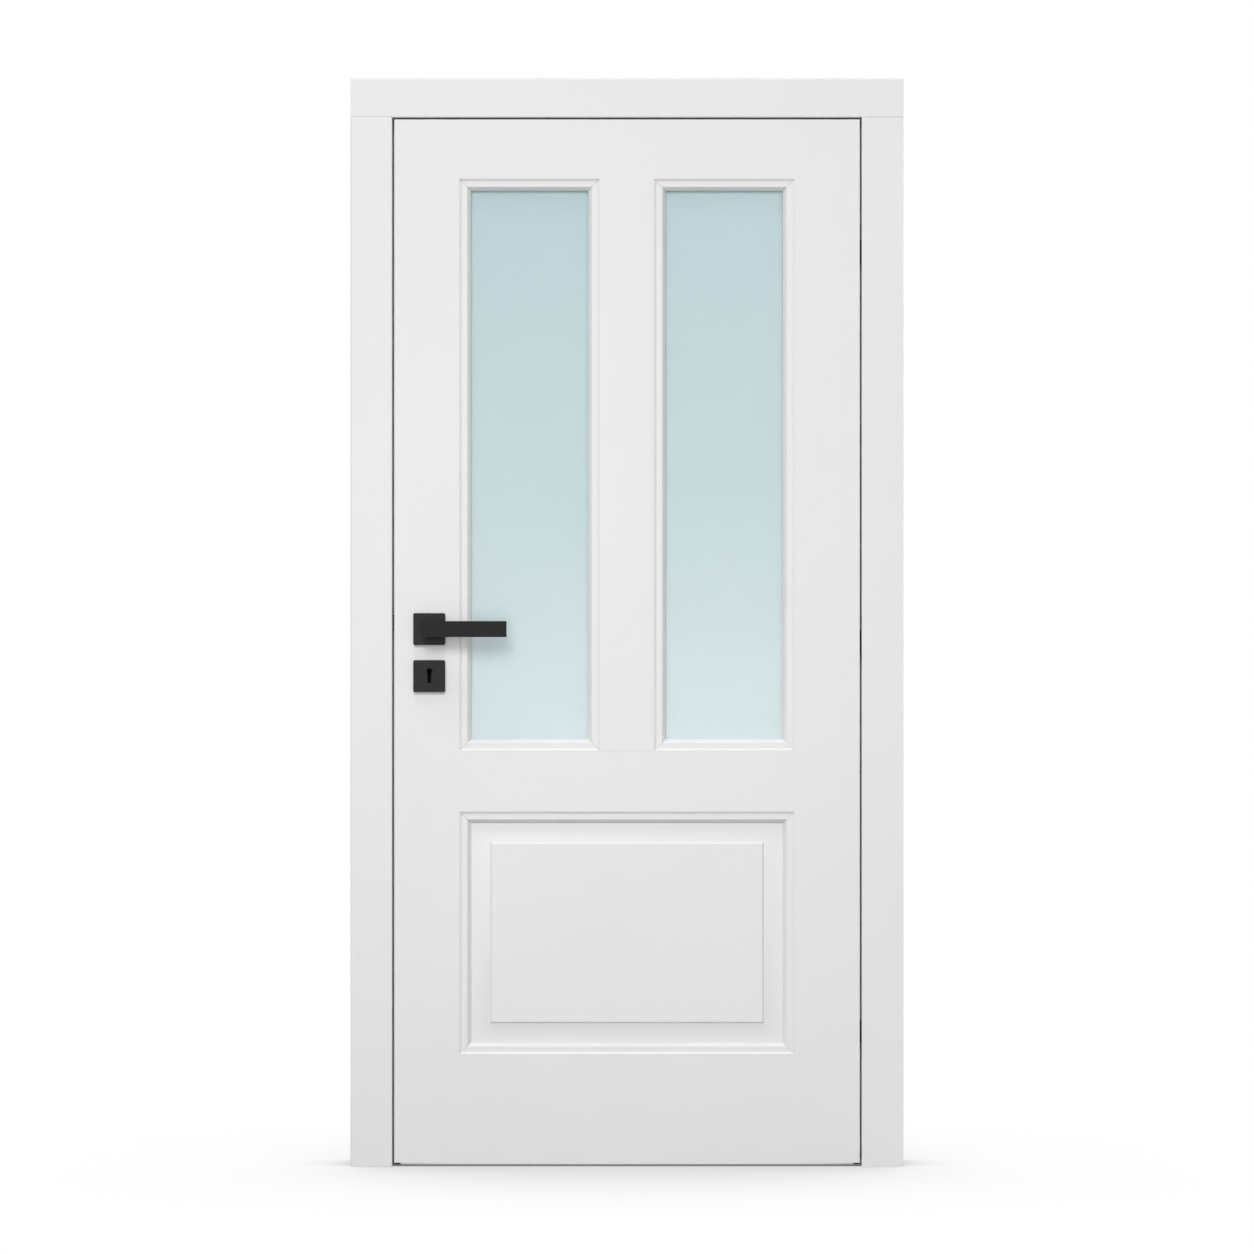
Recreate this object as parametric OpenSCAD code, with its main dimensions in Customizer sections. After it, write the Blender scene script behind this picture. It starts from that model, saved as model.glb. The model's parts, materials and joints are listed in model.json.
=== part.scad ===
/* [Leaf] */
// Width of the leaf
leaf_w = 892; // [760:1:1000]
// Height of the leaf
leaf_h = 2000; // [1900:1:2200]
// Thickness of the leaf
leaf_t = 44; // [43:0.5:60]
// Width of each stile
stile_w = 125; // [118:0.5:150]
// Height of the top rail
top_rail_h = 114; // [70:0.5:160]
// Height of the lock rail
lock_rail_h = 117; // [70:0.5:160]
// Height of the bottom rail
bottom_rail_h = 208; // [120:0.5:260]
// Height of the opening for the raised panel
panel_opening_h = 465; // [300:1:540]
// Width of the muntin between the two lights
muntin_w = 105; // [60:0.5:140]
// How far the muntin stands proud of the leaf's face
muntin_proud = 0.6; // [0.2:0.1:2]
// Width of the muntin's sloping margin
muntin_margin = 10; // [4:0.5:20]
// Diameter of the dowels in the rail joints
dowel_d = 12; // [8:0.5:16]
// Length of the dowels
dowel_l = 80; // [50:1:100]
// Distance from a rail's edge to its dowel
dowel_inset = 32; // [20:1:34]

/* [Frame] */
// Gap between leaf and lining at each side
side_gap = 4; // [3:0.1:6]
// Gap over the leaf
top_gap = 4; // [3:0.1:6]
// Gap under the leaf
floor_gap = 7; // [4:0.5:15]
// Width of the jamb casings
casing_w = 80; // [60:1:120]
// Height of the head casing
head_casing_h = 75; // [60:1:120]
// Thickness of the casings
casing_t = 12; // [10:0.5:16]
// Thickness of the wall that the linings cover
wall_t = 100; // [90:1:200]
// Thickness of the linings
lining_t = 30; // [28:0.5:40]
// How far the stops stand in from the linings
stop_t = 14; // [12:0.5:20]
// Width of the stops
stop_w = 40; // [20:1:44]
// Height of the seal's bulb and base
seal_h = 2.7; // [2.2:0.1:5]
// Thickness of the seal's base
seal_base_t = 1; // [0.6:0.1:1.4]
// Width of the seal's base
seal_w = 10; // [6:0.5:11]
// Diameter of the wall-fixing holes in the linings
fixing_d = 8; // [6:0.5:10]
// Height of the lower wall-fixing hole
fixing_z = 300; // [200:5:400]
// Distance between the wall-fixing holes of one lining
fixing_spacing = 1400; // [1200:10:1500]
// Distance from the back casing to the wall-fixing holes
fixing_inset = 18; // [12:0.5:22]

/* [Glazing and panel] */
// Thickness of the glass
glass_t = 6; // [4:0.5:10]
// Gap between a pane's edge and its opening
glass_gap = 2; // [1:0.1:4]
// Width of the beads
bead_w = 21.5; // [18:0.5:30]
// How far the beads' outer edge lies behind the leaf's face
bead_set = 0.6; // [0.2:0.1:2]
// Width of the beads' outer slope
bead_slope_w = 4; // [2:0.1:6]
// Depth of the beads' flat band behind the leaf's face
bead_band_depth = 3; // [2:0.1:6]
// Width of the beads' inner bevel
bead_bevel_w = 6.5; // [3:0.1:9]
// Depth of the inner bevel's lower edge behind the leaf's face
bead_bevel_depth = 11; // [7:0.1:13]
// Gap left at the beads' mitres
mitre_gap = 0.1; // [0.05:0.01:0.5]
// Thickness of the raised panel at its edge
panel_edge_t = 16; // [12:0.5:17]
// Height of the lip at the outer edge of the panel's margin
panel_lip = 0.6; // [0.3:0.1:1.5]
// Width of the hollow margin round the panel's field
panel_margin_w = 37; // [20:0.5:60]
// How far the margin rises from the panel's edge to its field
panel_margin_rise = 4; // [2:0.1:6]
// Width of the small slope round the panel's field
field_slope_w = 3; // [1:0.1:5]
// Height of the field over the margin
field_rise = 3.5; // [1:0.1:5]

/* [Handle] */
// Height of the handle over the leaf's lower edge
handle_height = 1023; // [960:1:1100]
// Distance from the leaf's free edge to the handle
backset = 67; // [60:0.5:75]
// Distance from the handle down to the keyhole
key_drop = 90; // [80:0.5:100]
// Side of the square roses and escutcheons
rose_w = 61; // [50:0.5:70]
// Radius of the corners of the roses and escutcheons
rose_corner_r = 3; // [0.5:0.1:6]
// Thickness of the roses and escutcheons
rose_t = 8.5; // [5:0.5:12]
// Length of the lever's bar
lever_l = 162; // [110:1:200]
// How far the bar reaches back past the handle's axis
lever_tail = 13; // [10:0.5:20]
// Height of the lever's bar
lever_h = 30.5; // [22:0.5:36]
// Thickness of the lever's bar
lever_t = 12; // [8:0.5:16]
// How far the lever stands out from the leaf's face
lever_projection = 50; // [45:0.5:70]
// Diameter of the lever's neck
neck_d = 20; // [16:0.5:24]
// Width of the square spindle
spindle_w = 8; // [6:0.5:9]
// How far the spindle reaches out of the leaf's faces
spindle_reach = 32; // [20:1:35]
// Angle through which the levers turn
handle_turn = 40; // [30:1:45]
// Diameter of the keyhole's round part
key_hole_d = 12; // [8:0.5:14]
// Width of the keyhole's slot
key_slot_w = 8; // [5:0.5:9]
// Height of the round part over the escutcheon's middle
key_hole_rise = 9; // [6:0.5:12]
// Distance from the escutcheon's middle down to the slot's lower end
key_slot_drop = 14; // [8:0.5:18]

/* [Lock] */
// Thickness of the lock case
lock_case_t = 16; // [15:0.5:20]
// Depth of the lock case behind its faceplate
lock_case_d = 95; // [92:1:100]
// Height of the lock case over the handle's axis
lock_above = 40; // [36:1:60]
// Depth of the lock case below the keyhole's middle
lock_below = 35; // [25:1:60]
// Thickness of the lock case's walls
lock_wall = 1.5; // [1:0.1:2]
// Width of the faceplate
faceplate_w = 20; // [18:0.5:24]
// How far the faceplate reaches past the lock case at each end
faceplate_over = 35; // [25:1:50]
// Thickness of the faceplate
faceplate_t = 3; // [2:0.5:4]
// Thickness of the ward plate behind the keyhole
ward_t = 2; // [1:0.1:3]
// How far the ward plate reaches past the keyhole
ward_over = 6; // [4:0.5:8]
// Diameter of the follower
follower_d = 18; // [16:0.5:20]
// Width of the follower's finger
finger_w = 6; // [4:0.5:7]
// Reach of the follower's finger from the handle's axis
finger_reach = 21; // [19:0.5:23]
// Thickness of the follower's finger
finger_t = 8; // [5:0.5:10]
// Thickness of latch bolt and dead bolt
bolt_t = 11; // [8:0.5:11.5]
// How far the latch bolt stands out
latch_throw = 12; // [11:0.5:13]
// Height of the latch bolt's head
latch_h = 22; // [18:0.5:24]
// Length of the latch bolt's head
latch_head_l = 30; // [24:1:34]
// Thickness of the latch bolt's tail
latch_tail_h = 6; // [4:0.5:8]
// Width of the tooth on the latch bolt's tail
latch_tooth_w = 6; // [4:0.5:10]
// How far the dead bolt is thrown
bolt_throw = 20; // [14:0.5:22]
// Height of the dead bolt
bolt_h = 30; // [20:0.5:36]
// Length of the dead bolt
bolt_l = 50; // [35:1:54]
// Thickness of the strike plate
strike_t = 2.5; // [1.5:0.1:4]
// Strike plate in front of the latch bolt's middle
strike_front = 9; // [8:0.5:10]
// Strike plate behind the latch bolt's middle
strike_back = 13; // [9:0.5:18]
// How far the strike plate reaches past the bolts' holes
strike_over = 26; // [18:1:40]

/* [Hinges] */
// Distance from the leaf's ends to the middle of the outer hinges
hinge_inset = 250; // [150:1:400]
// Distance from the leaf's face out to the axis that the leaf turns about
pivot_out = 2; // [1.5:0.1:2.5]
// Sideways distance from that axis to each case's pin
pin_side = 7; // [6.5:0.1:8]
// Distance back from that axis to each case's pin
pin_back = 18; // [17:0.1:19]
// Diameter of the hinge pins
pin_d = 4; // [3:0.1:4.5]
// Diameter of the arms' knuckles
knuckle_d = 7; // [6.4:0.1:7.2]
// Height of each plate of the arms
plate_h = 8; // [4:0.5:10]
// Distance from the centre pin at which the arms become whole
fork_r = 11; // [10.8:0.1:12]
// Wood and metal left between the leaf's face and the hinge's pocket
hinge_lip = 7; // [6:0.1:7.2]
// Height of the hinge cases
case_h = 110; // [100:1:140]
// Thickness of the hinge cases' side walls
case_wall = 2; // [1:0.1:2.5]
// Thickness of the hinge cases' back
case_back = 3; // [2:0.1:5]
// How far the pins sit in the cases above and below the pocket
pin_seat = 5; // [3:0.5:8]
// Distance from the pocket's end to the case's screw
case_screw_inset = 17; // [14:0.5:19]

/* [Screws and fits] */
// Diameter of the screws' shanks
screw_d = 4; // [3:0.1:5]
// Diameter of the screws' countersunk heads
screw_head_d = 8; // [6.5:0.1:9.5]
// Height of the screws' heads
screw_head_h = 2.4; // [1.5:0.1:3]
// Length of the screws
screw_l = 25; // [20:1:27]
// Width across the screws' sockets
socket_w = 2.5; // [1.5:0.1:3]
// Depth of the screws' sockets
socket_depth = 1.6; // [1:0.1:2]
// Clearance between pieces that are fixed to each other
fit = 0.1; // [0.05:0.01:0.3]
// Clearance round pins that turn
pin_fit = 0.15; // [0.1:0.01:0.3]
// Clearance between pieces that slide or turn past each other
run_fit = 0.4; // [0.3:0.05:0.8]
// Clearance round the hinges' arms
arm_clear = 1; // [0.8:0.1:1.4]

/* [Hidden] */
$fn = 64;

// How far cuts run past the faces that they open
past = 1;

// Frame and leaf
leaf_x = leaf_w / 2;
inner_x = leaf_x + side_gap;
outer_x = inner_x + casing_w;
leaf_z0 = floor_gap;
leaf_z1 = leaf_z0 + leaf_h;
inner_z = leaf_z1 + top_gap;
outer_z = inner_z + head_casing_h;
frame_depth = wall_t + 2 * casing_t;
face_y = (lever_projection - frame_depth) / 2;
mid_y = face_y + leaf_t / 2;
back_y = face_y + leaf_t;
lining_y0 = face_y + casing_t;
lining_y1 = lining_y0 + wall_t;
frame_y1 = lining_y1 + casing_t;
seal_gap = 0.3;
stop_y0 = back_y + seal_gap + seal_h;
stop_y1 = stop_y0 + stop_w;
bulb_r = seal_h - seal_base_t;

// Openings of the leaf
opening_x = leaf_x - stile_w;
lower_z0 = leaf_z0 + bottom_rail_h;
lower_z1 = lower_z0 + panel_opening_h;
upper_z0 = lower_z1 + lock_rail_h;
upper_z1 = leaf_z1 - top_rail_h;
light_w = opening_x - muntin_w / 2;
light_h = upper_z1 - upper_z0;
glass_depth = (leaf_t - glass_t) / 2;
panel_depth = (leaf_t - panel_edge_t) / 2;
hollow_rise = panel_margin_rise - panel_lip;
hollow_r = (panel_margin_w ^ 2 + hollow_rise ^ 2) / (2 * hollow_rise);

// Handle and lock
handle_x = -leaf_x + backset;
handle_z = leaf_z0 + handle_height;
key_z = handle_z - key_drop;
neck_r = neck_d / 2;
follower_r = follower_d / 2;
finger_clear = 1.5;
tail_z0 = handle_z + finger_reach + finger_clear;
tail_z1 = tail_z0 + latch_tail_h;
latch_z0 = tail_z1 - latch_h;
tooth_lead = 1;
tooth_x0 = handle_x - tooth_lead;
tooth_x1 = tooth_x0 + latch_tooth_w;
tooth_clear = 4;
tooth_z0 = handle_z + follower_r + tooth_clear;
latch_x0 = -leaf_x - latch_throw;
latch_x1 = latch_x0 + latch_head_l;
lock_x0 = -leaf_x + faceplate_t;
lock_x1 = lock_x0 + lock_case_d;
lock_z0 = key_z - lock_below;
lock_z1 = handle_z + lock_above;
faceplate_z0 = lock_z0 - faceplate_over;
faceplate_z1 = lock_z1 + faceplate_over;
faceplate_screw_z = [faceplate_z0 + faceplate_over / 2, faceplate_z1 - faceplate_over / 2];
spindle_gap = 2;
ward_x0 = handle_x - key_hole_d / 2 - ward_over;
ward_z1 = key_z + key_hole_rise + key_hole_d / 2 + ward_over;
bolt_z0 = key_z - bolt_h / 2;
bolt_z1 = key_z + bolt_h / 2;
strike_hole_gap = 2;
strike_z0 = bolt_z0 - strike_over;
strike_z1 = tail_z1 + strike_over;
strike_screw_z = [strike_z0 + strike_over / 2, strike_z1 - strike_over / 2];
strike_pocket_end = inner_x + max(bolt_throw, latch_throw) - side_gap + strike_hole_gap;

// Hinges: the two pins, the centre pin and the axis lie on a rhombus, so each arm keeps step with the leaf
hinge_z = [leaf_z0 + hinge_inset, leaf_z0 + leaf_h / 2, leaf_z1 - hinge_inset];
axis_x = leaf_x + side_gap / 2;
axis_y = face_y - pivot_out;
pin_xy = [axis_x + pin_side, axis_y + pin_back];
centre_xy = [axis_x, axis_y + 2 * pin_back];
arm_l = norm([pin_side, pin_back]);
arm_angle = atan2(pin_back, -pin_side);
knuckle_r = knuckle_d / 2;
plate_step = plate_h + run_fit;
stack_h = 5 * plate_h + 4 * run_fit;
pocket_h = stack_h + 2 * run_fit;
pocket_y0 = face_y + hinge_lip;
pocket_y1 = centre_xy[1] + knuckle_r + arm_clear;
pocket_d = pin_side - side_gap / 2 + knuckle_r + arm_clear;
case_y0 = pocket_y0 - case_wall;
case_y1 = pocket_y1 + case_wall;
case_w = case_y1 - case_y0;
case_y = (case_y0 + case_y1) / 2;
case_d = pocket_d + case_back;
case_screw_z = pocket_h / 2 + case_screw_inset;

// Colours
lacquer = [0.91, 0.91, 0.91];
frosted = [0.77, 0.86, 0.88];
black = [0.19, 0.19, 0.19];
steel = [0.72, 0.73, 0.74];
zinc = [0.60, 0.61, 0.62];
rubber = [0.22, 0.22, 0.23];
beech = [0.80, 0.66, 0.48];

// Box between two opposite corners
module block(low, high) {
    translate(low) cube(high - low);
}

// Profile drawn in Y and Z, extruded along X
module along_x(x0, x1) {
    translate([x0, 0, 0]) rotate([90, 0, 90]) linear_extrude(x1 - x0) children();
}

// Profile drawn in X and Z, extruded along Y
module along_y(y0, y1) {
    translate([0, y1, 0]) rotate([90, 0, 0]) linear_extrude(y1 - y0) children();
}

// Profile drawn in X and Y, extruded along Z
module along_z(z0, z1) {
    translate([0, 0, z0]) linear_extrude(z1 - z0) children();
}

// Round bar along X
module rod_x(x0, x1, y, z, r) {
    translate([x0, y, z]) rotate([0, 90, 0]) cylinder(h = x1 - x0, r = r);
}

// Round bar along Y
module rod_y(x, y0, y1, z, r) {
    translate([x, y1, z]) rotate([90, 0, 0]) cylinder(h = y1 - y0, r = r);
}

// Round bar along Z
module rod_z(xy, z0, z1, r) {
    translate([xy[0], xy[1], z0]) cylinder(h = z1 - z0, r = r);
}

// Mirror image on the other side of the doorway
module on_left() {
    mirror([1, 0, 0]) children();
}

// Mirror image on the leaf's back
module on_back() {
    translate([0, 2 * mid_y, 0]) mirror([0, 1, 0]) children();
}

// Mirror image of a hinge's frame side on its leaf side
module on_leaf_side() {
    translate([2 * axis_x, 0, 0]) mirror([1, 0, 0]) children();
}

// Countersunk screw along +X, its head's face at the origin
module screw() {
    rotate([0, 90, 0]) difference() {
        union() {
            cylinder(h = screw_head_h, d1 = screw_head_d, d2 = screw_d);
            cylinder(h = screw_l, d = screw_d);
        }
        translate([0, 0, -fit]) cylinder(h = socket_depth + fit, d = socket_w * 2 / sqrt(3), $fn = 6);
    }
}

// Hole that a screw sits in
module screw_hole() {
    rotate([0, 90, 0]) {
        cylinder(h = screw_head_h, d1 = screw_head_d + 2 * fit, d2 = screw_d + 2 * fit);
        cylinder(h = screw_l + fit, d = screw_d + 2 * fit);
        translate([0, 0, -past]) cylinder(h = past, d = screw_head_d + 2 * fit);
    }
}

module place_hinge_screws() {
    for (z = hinge_z, side = [-1, 1])
        translate([inner_x, case_y, z + side * case_screw_z]) children();
}

module place_strike_screws() {
    for (z = strike_screw_z)
        translate([-inner_x, mid_y, z]) mirror([1, 0, 0]) children();
}

module place_faceplate_screws() {
    for (z = faceplate_screw_z)
        translate([-leaf_x, mid_y, z]) children();
}

// Outline of a hinge case: a slot with round ends
module case_outline(grow) {
    r = case_w / 2 + grow;
    half = (case_h - case_w) / 2;
    translate([case_y - r, -half]) square([2 * r, 2 * half]);
    translate([case_y, half]) circle(r);
    translate([case_y, -half]) circle(r);
}

// Mortise for the frame side of each hinge
module hinge_mortises() {
    for (z = hinge_z)
        translate([0, 0, z]) along_x(inner_x - past, inner_x + case_d) case_outline(fit);
    place_hinge_screws() screw_hole();
}

// Openings of the strike plate for latch bolt and dead bolt, from x0 to x1 left of the doorway's middle
module strike_openings(x0, x1) {
    half_t = bolt_t / 2 + strike_hole_gap;
    for (z = [[bolt_z0, bolt_z1], [latch_z0, tail_z1]])
        block([-x1, mid_y - half_t, z[0] - strike_hole_gap], [-x0, mid_y + half_t, z[1] + strike_hole_gap]);
}

// Recess for the strike plate, with the pockets that the bolts enter and the screws' holes
module strike_recess() {
    block([-inner_x - strike_t, mid_y - strike_front, strike_z0],
        [-inner_x + past, mid_y + strike_back, strike_z1]);
    strike_openings(inner_x, strike_pocket_end);
    place_strike_screws() screw_hole();
}

module wall_fixings() {
    for (z = [fixing_z, fixing_z + fixing_spacing])
        rod_x(inner_x - past, inner_x + lining_t + past, lining_y1 - fixing_inset, z, fixing_d / 2);
}

module jamb_lining() {
    block([inner_x, lining_y0, 0], [inner_x + lining_t, lining_y1, inner_z]);
}

module left_lining() {
    color(lacquer) difference() {
        on_left() jamb_lining();
        on_left() wall_fixings();
        strike_recess();
    }
}

module right_lining() {
    color(lacquer) difference() {
        jamb_lining();
        wall_fixings();
        hinge_mortises();
    }
}

module head_lining() {
    reach = inner_x + lining_t;
    color(lacquer) block([-reach, lining_y0, inner_z], [reach, lining_y1, inner_z + lining_t]);
}

module jamb_casing(y0) {
    block([inner_x, y0, 0], [outer_x, y0 + casing_t, inner_z]);
}

module head_casing(y0) {
    block([-outer_x, y0, inner_z], [outer_x, y0 + casing_t, outer_z]);
}

module left_front_casing() {
    color(lacquer) difference() {
        on_left() jamb_casing(face_y);
        strike_recess();
    }
}

module right_front_casing() {
    color(lacquer) difference() {
        jamb_casing(face_y);
        hinge_mortises();
    }
}

module head_front_casing() {
    color(lacquer) head_casing(face_y);
}

module left_back_casing() {
    color(lacquer) on_left() jamb_casing(lining_y1);
}

module right_back_casing() {
    color(lacquer) jamb_casing(lining_y1);
}

module head_back_casing() {
    color(lacquer) head_casing(lining_y1);
}

module jamb_stop() {
    block([inner_x - stop_t, stop_y0, 0], [inner_x, stop_y1, inner_z - stop_t]);
}

module left_stop() {
    color(lacquer) on_left() jamb_stop();
}

module right_stop() {
    color(lacquer) jamb_stop();
}

module head_stop() {
    color(lacquer) block([-inner_x, stop_y0, inner_z - stop_t], [inner_x, stop_y1, inner_z]);
}

// Section of the seal: a flat base with a round bulb, drawn from the edge that faces the lining
module seal_section() {
    square([seal_w, seal_base_t]);
    translate([seal_w - 2 * bulb_r, seal_base_t]) intersection() {
        circle(bulb_r);
        translate([-bulb_r, 0]) square([2 * bulb_r, bulb_r]);
    }
}

// The seal lies on the front of the stops, level with their inner edges
module door_seal() {
    edge_x = inner_x - stop_t + seal_w;
    edge_z = inner_z - stop_t + seal_w;
    color(rubber) {
        for (side = [0, 1])
            mirror([side, 0, 0]) along_z(0, edge_z)
                translate([edge_x, stop_y0]) rotate(180) seal_section();
        translate([0, stop_y0, edge_z]) rotate([0, 90, 0]) translate([0, 0, -edge_x])
            linear_extrude(2 * edge_x) mirror([0, 1]) seal_section();
    }
}

module strike_plate() {
    color(steel) difference() {
        block([-inner_x - strike_t, mid_y - strike_front, strike_z0],
            [-inner_x, mid_y + strike_back, strike_z1]);
        strike_openings(inner_x - past, strike_pocket_end);
        place_strike_screws() screw_hole();
    }
}

module frame_screws() {
    color(steel) {
        place_hinge_screws() screw();
        place_strike_screws() screw();
    }
}

// Pocket for the lock case in the stile, cut through every dowel that it meets
module lock_pocket() {
    block([lock_x0 - past, mid_y - lock_case_t / 2 - fit, lock_z0 - fit],
        [lock_x1 + fit, mid_y + lock_case_t / 2 + fit, lock_z1 + fit]);
}

module left_stile() {
    color(lacquer) difference() {
        block([-leaf_x, face_y, leaf_z0], [-opening_x, back_y, leaf_z1]);
        block([-leaf_x - past, mid_y - faceplate_w / 2, faceplate_z0],
            [lock_x0, mid_y + faceplate_w / 2, faceplate_z1]);
        lock_pocket();
        rod_y(handle_x, face_y - past, back_y + past, handle_z, neck_r + spindle_gap);
        along_y(face_y - past, back_y + past) keyhole();
        place_faceplate_screws() screw_hole();
        dowel_holes();
    }
}

module right_stile() {
    color(lacquer) difference() {
        block([opening_x, face_y, leaf_z0], [leaf_x, back_y, leaf_z1]);
        on_leaf_side() hinge_mortises();
        dowel_holes();
    }
}

module rail(z0, z1) {
    color(lacquer) difference() {
        block([-opening_x, face_y, z0], [opening_x, back_y, z1]);
        dowel_holes();
    }
}

module top_rail() {
    rail(upper_z1, leaf_z1);
}

module lock_rail() {
    rail(lower_z1, upper_z0);
}

module bottom_rail() {
    rail(leaf_z0, lower_z0);
}

// The muntin's two faces stand a little proud, with sloping margins
module muntin() {
    half = muntin_w / 2;
    flat = half - muntin_margin;
    color(lacquer) difference() {
        along_z(upper_z0, upper_z1) polygon([
            [-half, face_y], [-flat, face_y - muntin_proud], [flat, face_y - muntin_proud], [half, face_y],
            [half, back_y], [flat, back_y + muntin_proud], [-flat, back_y + muntin_proud], [-half, back_y]
        ]);
        dowel_holes();
    }
}

// Two dowels in each joint of rail and stile, and one at each end of the muntin
module dowels(r, l) {
    rail_edges = [[leaf_z0, lower_z0], [lower_z1, upper_z0], [upper_z1, leaf_z1]];
    for (edges = rail_edges, x = [-opening_x, opening_x], z = edges + [dowel_inset, -dowel_inset])
        rod_x(x - l / 2, x + l / 2, mid_y, z, r);
    for (z = [upper_z0, upper_z1])
        rod_z([0, mid_y], z - l / 2, z + l / 2, r);
}

module dowel_holes() {
    dowels(dowel_d / 2 + fit, dowel_l + 2 * fit);
}

module rail_dowels() {
    color(beech) difference() {
        dowels(dowel_d / 2, dowel_l);
        lock_pocket();
    }
}

module pane() {
    block([muntin_w / 2 + glass_gap, mid_y - glass_t / 2, upper_z0 + glass_gap],
        [opening_x - glass_gap, mid_y + glass_t / 2, upper_z1 - glass_gap]);
}

module left_glass() {
    color(frosted) on_left() pane();
}

module right_glass() {
    color(frosted) pane();
}

// Section of the raised panel in an opening of this width: tongue, hollow margins and field
module panel_section(opening_w) {
    edge = opening_w / 2 - glass_gap;
    foot = opening_w / 2 - bead_w - fit;
    field = foot - panel_margin_w - field_slope_w;
    lip_y = panel_edge_t / 2 + panel_lip;
    field_y = panel_edge_t / 2 + panel_margin_rise + field_rise;
    field_base = field + field_y * field_slope_w / field_rise;
    square([2 * edge, panel_edge_t], center = true);
    difference() {
        square([2 * foot, 2 * field_y - field_rise], center = true);
        for (x = [-foot, foot], side = [-1, 1])
            translate([x, side * (lip_y + hollow_r)]) circle(hollow_r);
    }
    polygon([
        [-field_base, 0], [-field, -field_y], [field, -field_y],
        [field_base, 0], [field, field_y], [-field, field_y]
    ]);
}

// The panel's margins meet on the hips where its two sections cross
module raised_panel() {
    color(lacquer) translate([0, mid_y, (lower_z0 + lower_z1) / 2]) intersection() {
        along_z(-panel_opening_h / 2, panel_opening_h / 2) panel_section(2 * opening_x);
        along_x(-opening_x, opening_x) rotate(90) panel_section(panel_opening_h);
    }
}

// Section of a bead: depth behind the leaf's face, and distance in from the opening's edge
module bead_section(depth) {
    polygon([
        [bead_set, 0], [bead_band_depth, bead_slope_w], [bead_band_depth, bead_w - bead_bevel_w],
        [bead_bevel_depth, bead_w], [depth, bead_w], [depth, 0]
    ]);
}

// One bead along the lower edge of an opening, mitred at both ends
module bead(length, depth) {
    intersection() {
        along_x(0, length) bead_section(depth);
        along_y(0, depth) polygon([
            [mitre_gap, 0], [length - mitre_gap, 0],
            [length - bead_w - mitre_gap, bead_w], [bead_w + mitre_gap, bead_w]
        ]);
    }
}

// Four mitred beads round an opening, on the leaf's front
module beads(x0, x1, z0, z1, depth) {
    w = x1 - x0;
    h = z1 - z0;
    color(lacquer) translate([x0, face_y, z0]) {
        bead(w, depth);
        translate([0, 0, h]) mirror([0, 0, 1]) bead(w, depth);
        translate([0, 0, h]) rotate([0, 90, 0]) bead(h, depth);
        translate([w, 0, 0]) mirror([1, 0, 0]) translate([0, 0, h]) rotate([0, 90, 0]) bead(h, depth);
    }
}

module right_front_beads() {
    beads(muntin_w / 2, opening_x, upper_z0, upper_z1, glass_depth);
}

module left_front_beads() {
    on_left() right_front_beads();
}

module right_back_beads() {
    on_back() right_front_beads();
}

module left_back_beads() {
    on_back() left_front_beads();
}

module panel_front_beads() {
    beads(-opening_x, opening_x, lower_z0, lower_z1, panel_depth);
}

module panel_back_beads() {
    on_back() panel_front_beads();
}

// Keyhole: a round hole with a slot below it
module keyhole() {
    translate([handle_x, key_z + key_hole_rise]) circle(d = key_hole_d);
    translate([handle_x - key_slot_w / 2, key_z - key_slot_drop])
        square([key_slot_w, key_slot_drop + key_hole_rise]);
}

// Openings for the heads of latch bolt and dead bolt
module bolt_openings(x0, x1) {
    half_t = bolt_t / 2 + run_fit;
    for (z = [[bolt_z0, bolt_z1], [latch_z0, tail_z1]])
        block([x0, mid_y - half_t, z[0] - run_fit], [x1, mid_y + half_t, z[1] + run_fit]);
}

module lock_case() {
    half_t = lock_case_t / 2;
    color(zinc) difference() {
        block([lock_x0, mid_y - half_t, lock_z0], [lock_x1, mid_y + half_t, lock_z1]);
        block([lock_x0 + lock_wall, mid_y - half_t + lock_wall, lock_z0 + lock_wall],
            [lock_x1 - lock_wall, mid_y + half_t - lock_wall, lock_z1 - lock_wall]);
        bolt_openings(lock_x0 - past, lock_x0 + lock_wall + past);
        rod_y(handle_x, mid_y - half_t - past, mid_y + half_t + past, handle_z, follower_r + run_fit);
        along_y(mid_y - half_t - past, mid_y + half_t + past) keyhole();
    }
}

// Fixed plate in the middle of the lock case, on its floor and end wall, that a key is cut to clear
module ward_plate() {
    color(steel) block([ward_x0, mid_y - ward_t / 2, lock_z0 + lock_wall],
        [lock_x1 - lock_wall, mid_y + ward_t / 2, ward_z1]);
}

module lock_faceplate() {
    color(steel) difference() {
        block([-leaf_x, mid_y - faceplate_w / 2, faceplate_z0],
            [lock_x0, mid_y + faceplate_w / 2, faceplate_z1]);
        bolt_openings(-leaf_x - past, lock_x0 + past);
        place_faceplate_screws() screw_hole();
    }
}

module leaf_screws() {
    color(steel) {
        on_leaf_side() place_hinge_screws() screw();
        place_faceplate_screws() screw();
    }
}

// Square plate with rounded corners on the leaf's front, with its middle at this height
module square_plate(z) {
    corner = rose_w / 2 - rose_corner_r;
    along_y(face_y - rose_t, face_y) translate([handle_x, z]) {
        square([rose_w, 2 * corner], center = true);
        square([2 * corner, rose_w], center = true);
        for (x = [-corner, corner], y = [-corner, corner])
            translate([x, y]) circle(rose_corner_r);
    }
}

module rose() {
    color(black) difference() {
        square_plate(handle_z);
        rod_y(handle_x, face_y - rose_t - past, face_y + past, handle_z, neck_r + run_fit);
    }
}

module escutcheon() {
    color(black) difference() {
        square_plate(key_z);
        along_y(face_y - rose_t - past, face_y + past) keyhole();
    }
}

module front_rose() {
    rose();
}

module back_rose() {
    on_back() rose();
}

module front_escutcheon() {
    escutcheon();
}

module back_escutcheon() {
    on_back() escutcheon();
}

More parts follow.
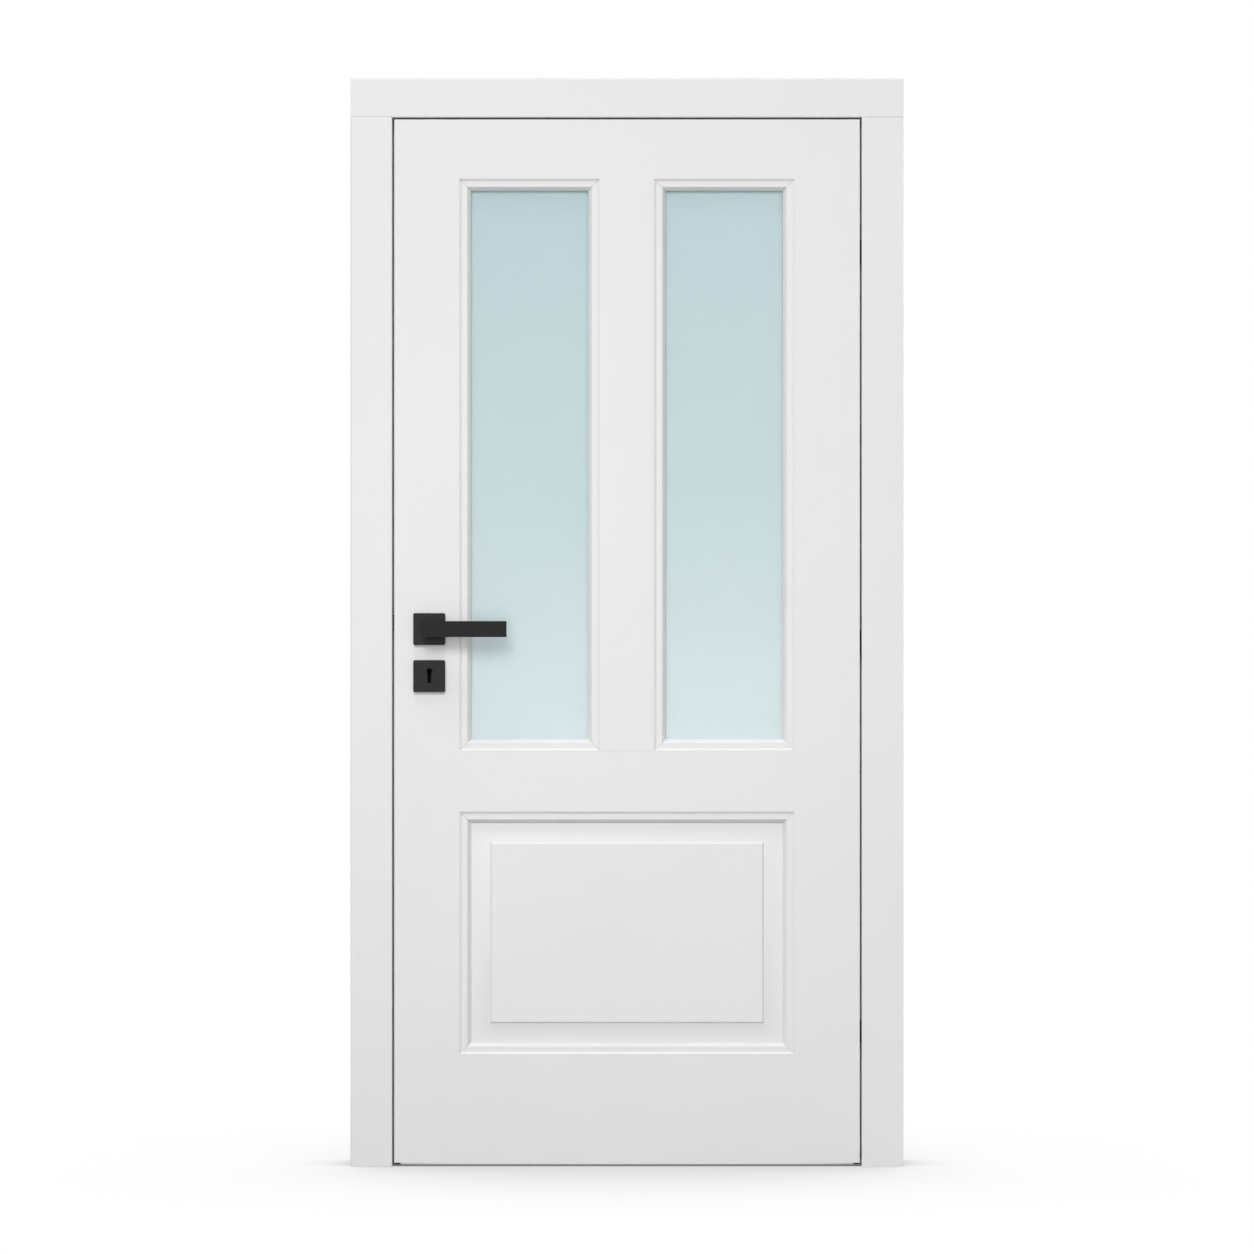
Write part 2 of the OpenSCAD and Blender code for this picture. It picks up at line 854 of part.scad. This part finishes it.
// Square hole for the spindle
module spindle_hole(y0, y1) {
    half = spindle_w / 2 + fit;
    block([handle_x - half, y0, handle_z - half], [handle_x + half, y1, handle_z + half]);
}

// Flat bar on a round neck that turns in the rose
module lever() {
    front = face_y - lever_projection;
    bar_x0 = handle_x - lever_tail;
    color(black) difference() {
        union() {
            block([bar_x0, front, handle_z - lever_h / 2],
                [bar_x0 + lever_l, front + lever_t, handle_z + lever_h / 2]);
            rod_y(handle_x, front + lever_t / 2, face_y, handle_z, neck_r);
        }
        spindle_hole(face_y - spindle_reach - fit, face_y + past);
    }
}

module front_lever() {
    lever();
}

module back_lever() {
    on_back() lever();
}

module spindle() {
    half = spindle_w / 2;
    color(steel) block([handle_x - half, face_y - spindle_reach, handle_z - half],
        [handle_x + half, back_y + spindle_reach, handle_z + half]);
}

// The follower's finger leans to both sides of the upright by half of the handle's turn
module follower() {
    color(steel) difference() {
        union() {
            rod_y(handle_x, mid_y - lock_case_t / 2, mid_y + lock_case_t / 2, handle_z, follower_r);
            along_y(mid_y - finger_t / 2, mid_y + finger_t / 2)
                translate([handle_x, handle_z]) rotate(handle_turn / 2)
                    translate([-finger_w / 2, 0]) square([finger_w, finger_reach]);
        }
        spindle_hole(mid_y - lock_case_t, mid_y + lock_case_t);
    }
}

// Head with a sloping back, a tail over the follower and a tooth for the follower's finger
module latch_bolt() {
    half_t = bolt_t / 2;
    color(steel) {
        along_z(latch_z0, tail_z1) polygon([
            [latch_x0, mid_y - half_t], [latch_x1, mid_y - half_t], [latch_x1, mid_y + half_t],
            [-leaf_x, mid_y + half_t], [latch_x0, mid_y - half_t / 2]
        ]);
        block([-leaf_x, mid_y - finger_t / 2, tail_z0],
            [tooth_x1, mid_y + finger_t / 2, tail_z1]);
        block([tooth_x0, mid_y - finger_t / 2, tooth_z0], [tooth_x1, mid_y + finger_t / 2, tail_z1]);
    }
}

module dead_bolt() {
    color(steel) block([-leaf_x, mid_y - bolt_t / 2, bolt_z0],
        [-leaf_x + bolt_l, mid_y + bolt_t / 2, bolt_z1]);
}

// Frame side of one hinge: a case with a pocket that the arms fold into
module hinge_case(z) {
    color(zinc) difference() {
        translate([0, 0, z]) along_x(inner_x, inner_x + case_d) case_outline(0);
        block([inner_x - past, pocket_y0, z - pocket_h / 2],
            [inner_x + pocket_d, pocket_y1, z + pocket_h / 2]);
        rod_z(pin_xy, z - pocket_h / 2 - pin_seat, z + pocket_h / 2 + pin_seat, pin_d / 2 + fit);
        place_hinge_screws() screw_hole();
    }
}

module case_pins() {
    reach = pocket_h / 2 + pin_seat;
    color(steel) for (z = hinge_z)
        rod_z(pin_xy, z - reach, z + reach, pin_d / 2);
}

// One hinge arm from its case's pin to the centre pin, forked round the other arm's plates at these levels
module hinge_arm(z, other_plates) {
    z0 = z - stack_h / 2;
    color(zinc) difference() {
        along_z(z0, z0 + stack_h) translate(pin_xy) rotate(arm_angle) {
            circle(knuckle_r);
            translate([0, -knuckle_r]) square([arm_l, knuckle_d]);
            translate([arm_l, 0]) circle(knuckle_r);
        }
        for (level = other_plates)
            rod_z(centre_xy, z0 + level * plate_step - run_fit, z0 + level * plate_step + plate_step, fork_r);
        rod_z(pin_xy, z0 - past, z0 + stack_h + past, pin_d / 2 + pin_fit);
        rod_z(centre_xy, z0 - past, z0 + stack_h + past, pin_d / 2 + pin_fit);
    }
}

module frame_arm(z) {
    hinge_arm(z, [1, 3]);
}

module leaf_arm(z) {
    on_leaf_side() hinge_arm(z, [0, 2, 4]);
}

module leaf_case(z) {
    on_leaf_side() hinge_case(z);
}

module hinge_centre_pins() {
    color(steel) for (z = hinge_z)
        rod_z(centre_xy, z - stack_h / 2, z + stack_h / 2, pin_d / 2);
}

module hinge_frame_pins() {
    case_pins();
}

module hinge_leaf_pins() {
    on_leaf_side() case_pins();
}

module bottom_hinge_frame_case() {
    hinge_case(hinge_z[0]);
}

module middle_hinge_frame_case() {
    hinge_case(hinge_z[1]);
}

module top_hinge_frame_case() {
    hinge_case(hinge_z[2]);
}

module bottom_hinge_leaf_case() {
    leaf_case(hinge_z[0]);
}

module middle_hinge_leaf_case() {
    leaf_case(hinge_z[1]);
}

module top_hinge_leaf_case() {
    leaf_case(hinge_z[2]);
}

module bottom_hinge_frame_arm() {
    frame_arm(hinge_z[0]);
}

module middle_hinge_frame_arm() {
    frame_arm(hinge_z[1]);
}

module top_hinge_frame_arm() {
    frame_arm(hinge_z[2]);
}

module bottom_hinge_leaf_arm() {
    leaf_arm(hinge_z[0]);
}

module middle_hinge_leaf_arm() {
    leaf_arm(hinge_z[1]);
}

module top_hinge_leaf_arm() {
    leaf_arm(hinge_z[2]);
}

left_lining();
right_lining();
head_lining();
left_front_casing();
right_front_casing();
head_front_casing();
left_back_casing();
right_back_casing();
head_back_casing();
left_stop();
right_stop();
head_stop();
door_seal();
strike_plate();
frame_screws();
hinge_frame_pins();
top_hinge_frame_case();
middle_hinge_frame_case();
bottom_hinge_frame_case();
left_stile();
right_stile();
top_rail();
lock_rail();
bottom_rail();
muntin();
rail_dowels();
left_glass();
right_glass();
raised_panel();
left_front_beads();
left_back_beads();
right_front_beads();
right_back_beads();
panel_front_beads();
panel_back_beads();
lock_case();
ward_plate();
lock_faceplate();
leaf_screws();
front_rose();
back_rose();
front_escutcheon();
back_escutcheon();
top_hinge_leaf_case();
middle_hinge_leaf_case();
bottom_hinge_leaf_case();
hinge_leaf_pins();
front_lever();
back_lever();
spindle();
follower();
latch_bolt();
dead_bolt();
top_hinge_frame_arm();
middle_hinge_frame_arm();
bottom_hinge_frame_arm();
hinge_centre_pins();
top_hinge_leaf_arm();
middle_hinge_leaf_arm();
bottom_hinge_leaf_arm();
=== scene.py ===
"""Glazed panel door with its frame: finish of every surface, light, floor and camera."""
import json
import math

import bpy
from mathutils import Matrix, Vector


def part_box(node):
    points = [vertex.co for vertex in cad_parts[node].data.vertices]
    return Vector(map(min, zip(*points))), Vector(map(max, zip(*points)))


# Photograph: a square frame, its scale on the door's face, and the height of its middle
PHOTO_PX = 1254
METRES_PER_PX = 0.001917
VIEW_HEIGHT = 1.034

# Camera
LENS_MM = 150.0
SENSOR_MM = 36.0
CAMERA_REACH = 200.0

# Lamps that look at the middle of the view: direction, distance and size in metres, and power
LAMPS = {
    "key": {"towards": (-0.13, -1.0, 0.56), "distance": 20.0, "size": 6.0, "watts": 1745.0},
    "top": {"towards": (-0.12, -0.36, 1.0), "distance": 20.0, "size": 5.0, "watts": 980.0},
    "back": {"towards": (0.45, 1.0, 0.75), "distance": 16.0, "size": 6.0, "watts": 1700.0},
}

# A weak lamp close to the door's face, which looks straight back
FILL_PLACE = Vector((-0.3, -3.2, 1.15))
FILL_SIZE = 1.6
FILL_WATTS = 20.0

# Even light from all around
AMBIENT = 0.297

# Floor: its tones over how open it lies, from closed to open, and the light that it throws back
FLOOR_HALF = 60.0
FLOOR_SHADE_REACH = 1.0
FLOOR_SHADE_SAMPLES = 16
FLOOR_TONES = ((0.0, 0.10), (0.45, 0.66), (0.60, 0.785), (0.80, 0.925), (0.90, 0.985), (1.0, 1.0))
FLOOR_BOUNCE = 0.35

# Edge rounding in metres, by material slot; casings have softer edges, screws and pins keep theirs
EDGE = {
    "white_lacquer": 0.0007,
    "frosted_glass": 0.0006,
    "black_metal": 0.0009,
    "steel": 0.0003,
    "zinc": 0.0004,
    "beech": 0.0006,
}
CASING_EDGE = 0.0022
SMALL_SOLIDS = ("screws", "pins")
EDGE_SEGMENTS = 3
EDGE_ANGLE = math.radians(20.0)
WELD_REACH = 0.000002

# Fineness of every noise
NOISE_ROUGHNESS = 0.55


def grey(value):
    """A neutral colour."""
    return (value, value, value)


def opaque(colour):
    """A colour with full alpha."""
    return (*colour, 1.0)


def add(tree, kind, **values):
    """A node of this kind, with these properties set."""
    node = tree.nodes.new(kind)
    for key, value in values.items():
        setattr(node, key, value)
    return node


def new_material(name):
    """A material with a Principled shader; returns it with its node tree and shader."""
    mat = bpy.data.materials.new(name)
    mat.use_nodes = True
    tree = mat.node_tree
    return mat, tree, tree.nodes["Principled BSDF"]


def object_coordinates(tree, scale=(1.0, 1.0, 1.0)):
    """Object coordinates in metres, multiplied by a scale for each axis."""
    coords = add(tree, "ShaderNodeTexCoord")
    mapping = add(tree, "ShaderNodeMapping")
    mapping.inputs["Scale"].default_value = scale
    tree.links.new(coords.outputs["Object"], mapping.inputs["Vector"])
    return mapping.outputs["Vector"]


def noise(tree, vector, scale, detail=3.0):
    """A noise texture on these coordinates; returns its value output."""
    node = add(tree, "ShaderNodeTexNoise")
    node.inputs["Scale"].default_value = scale
    node.inputs["Detail"].default_value = detail
    node.inputs["Roughness"].default_value = NOISE_ROUGHNESS
    tree.links.new(vector, node.inputs["Vector"])
    return node.outputs["Fac"]


def ramp(tree, value, stops):
    """A colour ramp over a value; stops are (position, colour)."""
    node = add(tree, "ShaderNodeValToRGB")
    elements = node.color_ramp.elements
    while len(elements) < len(stops):
        elements.new(0.5)
    for element, (position, colour) in zip(elements, stops):
        element.position = position
        element.color = opaque(colour)
    tree.links.new(value, node.inputs["Fac"])
    return node.outputs["Color"]


def spread(tree, value, low, high, from_low=0.0, from_high=1.0):
    """Map a value from from_low..from_high to low..high."""
    node = add(tree, "ShaderNodeMapRange")
    node.inputs["From Min"].default_value = from_low
    node.inputs["From Max"].default_value = from_high
    node.inputs["To Min"].default_value = low
    node.inputs["To Max"].default_value = high
    tree.links.new(value, node.inputs["Value"])
    return node.outputs["Result"]


def colour_by(tree, shader, value, stops):
    """Colour the surface by a value."""
    tree.links.new(ramp(tree, value, stops), shader.inputs["Base Color"])


def roughen_by(tree, shader, value, low, high):
    """Let the surface's roughness run from low to high with a value."""
    tree.links.new(spread(tree, value, low, high), shader.inputs["Roughness"])


def bump_by(tree, shader, height, strength, distance):
    """Let a height value, over a distance in metres, disturb the surface's shading."""
    node = add(tree, "ShaderNodeBump")
    node.inputs["Strength"].default_value = strength
    node.inputs["Distance"].default_value = distance
    tree.links.new(height, node.inputs["Height"])
    tree.links.new(node.outputs["Normal"], shader.inputs["Normal"])


def white_lacquer():
    """Sprayed satin lacquer: a fine orange peel over a faint, even tone."""
    mat, tree, shader = new_material("white_lacquer")
    vector = object_coordinates(tree)
    tone = noise(tree, vector, scale=3.0, detail=2.0)
    colour_by(tree, shader, tone, [(0.3, grey(0.797)), (0.7, grey(0.813))])
    roughen_by(tree, shader, noise(tree, vector, scale=24.0), low=0.34, high=0.42)
    peel = noise(tree, vector, scale=420.0, detail=2.0)
    bump_by(tree, shader, peel, strength=0.06, distance=0.0004)
    return mat


def frosted_glass(bottom, top):
    """Etched glass, pale blue-grey, with painted shade that makes it darker towards its top."""
    mat, tree, shader = new_material("frosted_glass")
    coords = add(tree, "ShaderNodeTexCoord")
    split = add(tree, "ShaderNodeSeparateXYZ")
    tree.links.new(coords.outputs["Object"], split.inputs["Vector"])
    # Painted shade: the glass colour runs from light at its bottom to dark at its top
    height = spread(tree, split.outputs["Z"], 0.0, 1.0, from_low=bottom, from_high=top)
    colour_by(tree, shader, height, [
        (0.0, (0.768, 0.855, 0.871)),
        (0.45, (0.632, 0.750, 0.760)),
        (1.0, (0.556, 0.686, 0.713)),
    ])
    vector = object_coordinates(tree)
    roughen_by(tree, shader, noise(tree, vector, scale=9.0), low=0.52, high=0.62)
    grain = noise(tree, vector, scale=900.0, detail=2.0)
    bump_by(tree, shader, grain, strength=0.12, distance=0.0003)
    shader.inputs["Transmission Weight"].default_value = 0.55
    shader.inputs["IOR"].default_value = 1.5
    return mat


def black_metal(name, dark, light, shine):
    """Matt black powder coat with a fine grain, between two greys."""
    mat, tree, shader = new_material(name)
    vector = object_coordinates(tree)
    tone = noise(tree, vector, scale=60.0)
    colour_by(tree, shader, tone, [(0.3, grey(dark)), (0.7, grey(light))])
    roughen_by(tree, shader, noise(tree, vector, scale=300.0), low=0.40, high=0.52)
    grain = noise(tree, vector, scale=2600.0, detail=2.0)
    bump_by(tree, shader, grain, strength=0.18, distance=0.0002)
    shader.inputs["Specular IOR Level"].default_value = shine
    return mat


def brushed_steel(name, dark, light):
    """Steel brushed upwards, between two tones."""
    mat, tree, shader = new_material(name)
    lines = noise(tree, object_coordinates(tree, (900.0, 900.0, 14.0)), scale=1.0, detail=4.0)
    colour_by(tree, shader, lines, [(0.25, dark), (0.75, light)])
    roughen_by(tree, shader, lines, low=0.24, high=0.40)
    bump_by(tree, shader, lines, strength=0.10, distance=0.0001)
    shader.inputs["Metallic"].default_value = 1.0
    return mat


def die_cast_zinc():
    """Satin die-cast metal with a fine sandy skin."""
    mat, tree, shader = new_material("zinc")
    vector = object_coordinates(tree)
    tone = noise(tree, vector, scale=140.0)
    colour_by(tree, shader, tone, [(0.3, (0.40, 0.40, 0.415)), (0.7, (0.50, 0.50, 0.51))])
    roughen_by(tree, shader, tone, low=0.34, high=0.48)
    grain = noise(tree, vector, scale=1900.0)
    bump_by(tree, shader, grain, strength=0.15, distance=0.0002)
    shader.inputs["Metallic"].default_value = 0.9
    return mat


def seal_rubber():
    """Matt dark rubber."""
    mat, tree, shader = new_material("seal_rubber")
    vector = object_coordinates(tree)
    tone = noise(tree, vector, scale=80.0)
    colour_by(tree, shader, tone, [(0.3, (0.030, 0.030, 0.032)), (0.7, (0.046, 0.046, 0.048))])
    roughen_by(tree, shader, noise(tree, vector, scale=700.0), low=0.68, high=0.84)
    return mat


def beech():
    """Bare beech with its grain along X."""
    mat, tree, shader = new_material("beech")
    grain = noise(tree, object_coordinates(tree, (9.0, 260.0, 260.0)), scale=1.0, detail=5.0)
    colour_by(tree, shader, grain, [(0.3, (0.46, 0.28, 0.14)), (0.7, (0.64, 0.44, 0.26))])
    roughen_by(tree, shader, grain, low=0.55, high=0.72)
    bump_by(tree, shader, grain, strength=0.2, distance=0.0002)
    return mat


def slot_finishes():
    """The material of every slot."""
    glass_low, glass_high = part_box("left_glass")
    return {
        "white_lacquer": white_lacquer(),
        "frosted_glass": frosted_glass(glass_low.z, glass_high.z),
        "black_metal": black_metal("black_metal", dark=0.008, light=0.013, shine=0.25),
        "steel": brushed_steel("steel", dark=(0.47, 0.47, 0.48), light=(0.64, 0.64, 0.65)),
        "zinc": die_cast_zinc(),
        "seal_rubber": seal_rubber(),
        "beech": beech(),
    }


def own_finishes():
    """The materials of single nodes that differ from their slot's."""
    # The levers get a lighter, less shiny copy of the roses' black as painted light, which lifts them to the
    # roses' tone
    lever = black_metal("lever_black_painted_light", dark=0.010, light=0.013, shine=0.16)
    return {
        "front_lever": lever,
        "back_lever": lever,
        # The latch bolt is a near-black copy of the steel as painted shade, so it reads dark where it shows
        # at the leaf's edge
        "latch_bolt": brushed_steel("latch_steel_painted_shade", dark=(0.025, 0.025, 0.027), light=(0.04, 0.04, 0.042)),
        # The ward plate is made near black as painted shade, so the keyhole in front of it reads dark
        "ward_plate": black_metal("ward_plate_painted_shade", dark=0.002, light=0.004, shine=0.05),
    }


def round_edges(obj, width):
    """Weld the mesh's seams, round its sharp edges and even out the shading, by modifiers alone."""
    weld = obj.modifiers.new("weld", "WELD")
    weld.merge_threshold = WELD_REACH
    bevel = obj.modifiers.new("edges", "BEVEL")
    bevel.width = width
    bevel.segments = EDGE_SEGMENTS
    bevel.limit_method = "ANGLE"
    bevel.angle_limit = EDGE_ANGLE
    bevel.use_clamp_overlap = True
    normals = obj.modifiers.new("normals", "WEIGHTED_NORMAL")
    normals.keep_sharp = True


def dress_nodes(frame):
    """Give every CAD node its finish and its rounded edges."""
    by_slot = slot_finishes()
    by_node = own_finishes()
    slots = {part["node"]: part["material_slot"] for part in frame["record"]["subparts"]}
    for name, obj in frame["nodes"].items():
        slot = slots[name]
        obj.data.materials.clear()
        obj.data.materials.append(by_node.get(name, by_slot[slot]))
        if slot not in EDGE or name.endswith(SMALL_SOLIDS):
            continue
        round_edges(obj, CASING_EDGE if name.endswith("casing") else EDGE[slot])


def camera_rays(tree):
    """1 where the camera looks, straight or through the glass, and 0 elsewhere."""
    path = add(tree, "ShaderNodeLightPath")
    either = add(tree, "ShaderNodeMath", operation="MAXIMUM")
    tree.links.new(path.outputs["Is Camera Ray"], either.inputs[0])
    tree.links.new(path.outputs["Is Transmission Ray"], either.inputs[1])
    return either.outputs[0]


def seen_and_lit(tree, seen, lit, output_kind):
    """Show one shader to the camera and let the other one light the scene."""
    mix = add(tree, "ShaderNodeMixShader")
    tree.links.new(camera_rays(tree), mix.inputs["Fac"])
    tree.links.new(lit.outputs[0], mix.inputs[1])
    tree.links.new(seen.outputs[0], mix.inputs[2])
    output = add(tree, output_kind)
    tree.links.new(mix.outputs[0], output.inputs["Surface"])


def floor_material():
    """White to the eye, shaded softly towards the door's foot, and dull to the light."""
    mat, tree, _ = new_material("floor")
    tree.nodes.clear()
    bounce = add(tree, "ShaderNodeBsdfDiffuse")
    bounce.inputs["Color"].default_value = opaque(grey(FLOOR_BOUNCE))
    shade = add(tree, "ShaderNodeAmbientOcclusion", samples=FLOOR_SHADE_SAMPLES)
    shade.inputs["Distance"].default_value = FLOOR_SHADE_REACH
    tone = ramp(tree, shade.outputs["AO"], [(at, grey(value)) for at, value in FLOOR_TONES])
    seen = add(tree, "ShaderNodeEmission")
    tree.links.new(tone, seen.inputs["Color"])
    seen_and_lit(tree, seen, bounce, "ShaderNodeOutputMaterial")
    return mat


def make_floor():
    """A wide square floor under the door."""
    corners = [(-1, -1), (1, -1), (1, 1), (-1, 1)]
    mesh = bpy.data.meshes.new("floor")
    mesh.from_pydata([(x * FLOOR_HALF, y * FLOOR_HALF, 0.0) for x, y in corners], [], [(0, 1, 2, 3)])
    mesh.materials.append(floor_material())
    floor = bpy.data.objects.new("floor", mesh)
    bpy.context.scene.collection.objects.link(floor)


def make_world():
    """White to the eye, and an even ambient light."""
    world = bpy.data.worlds.new("studio")
    bpy.context.scene.world = world
    world.use_nodes = True
    tree = world.node_tree
    tree.nodes.clear()
    ambient = add(tree, "ShaderNodeBackground")
    ambient.inputs["Color"].default_value = opaque(grey(1.0))
    ambient.inputs["Strength"].default_value = AMBIENT
    white = add(tree, "ShaderNodeBackground")
    white.inputs["Color"].default_value = opaque(grey(1.0))
    seen_and_lit(tree, white, ambient, "ShaderNodeOutputWorld")


def make_lamp(name, place, size, watts, target):
    """A square area lamp that looks at a point."""
    data = bpy.data.lights.new(name, "AREA")
    data.shape = "SQUARE"
    data.size = size
    data.energy = watts
    lamp = bpy.data.objects.new(name, data)
    lamp.location = place
    lamp.rotation_euler = (target - place).to_track_quat("-Z", "Y").to_euler()
    bpy.context.scene.collection.objects.link(lamp)


def make_lamps():
    """The lamps around the view's middle, and the fill in front of the door."""
    middle = Vector((0.0, 0.0, VIEW_HEIGHT))
    for name, lamp in LAMPS.items():
        place = middle + Vector(lamp["towards"]).normalized() * lamp["distance"]
        make_lamp(name, place, lamp["size"], lamp["watts"], middle)
    make_lamp("fill", FILL_PLACE, FILL_SIZE, FILL_WATTS, Vector((0.0, 0.0, FILL_PLACE.z)))


def make_camera(face_y):
    """A long lens, straight in front of the door."""
    data = bpy.data.cameras.new("camera")
    data.sensor_width = SENSOR_MM
    data.lens = LENS_MM
    data.clip_end = CAMERA_REACH
    distance = PHOTO_PX * METRES_PER_PX * LENS_MM / SENSOR_MM
    camera = bpy.data.objects.new("camera", data)
    camera.location = (0.0, face_y - distance, VIEW_HEIGHT)
    camera.rotation_euler = (math.radians(90.0), 0.0, 0.0)
    bpy.context.scene.collection.objects.link(camera)
    bpy.context.scene.camera = camera


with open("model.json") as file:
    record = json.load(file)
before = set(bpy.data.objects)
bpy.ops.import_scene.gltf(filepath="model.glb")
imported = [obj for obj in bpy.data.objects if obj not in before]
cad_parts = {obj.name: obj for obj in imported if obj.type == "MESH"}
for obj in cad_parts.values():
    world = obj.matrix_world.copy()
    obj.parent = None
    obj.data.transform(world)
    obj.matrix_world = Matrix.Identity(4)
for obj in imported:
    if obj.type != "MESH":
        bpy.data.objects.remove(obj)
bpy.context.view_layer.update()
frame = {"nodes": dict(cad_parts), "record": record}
bpy.context.scene.view_settings.view_transform = "Standard"

make_camera(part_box("left_stile")[0].y)
make_world()
make_floor()
make_lamps()
dress_nodes(frame)
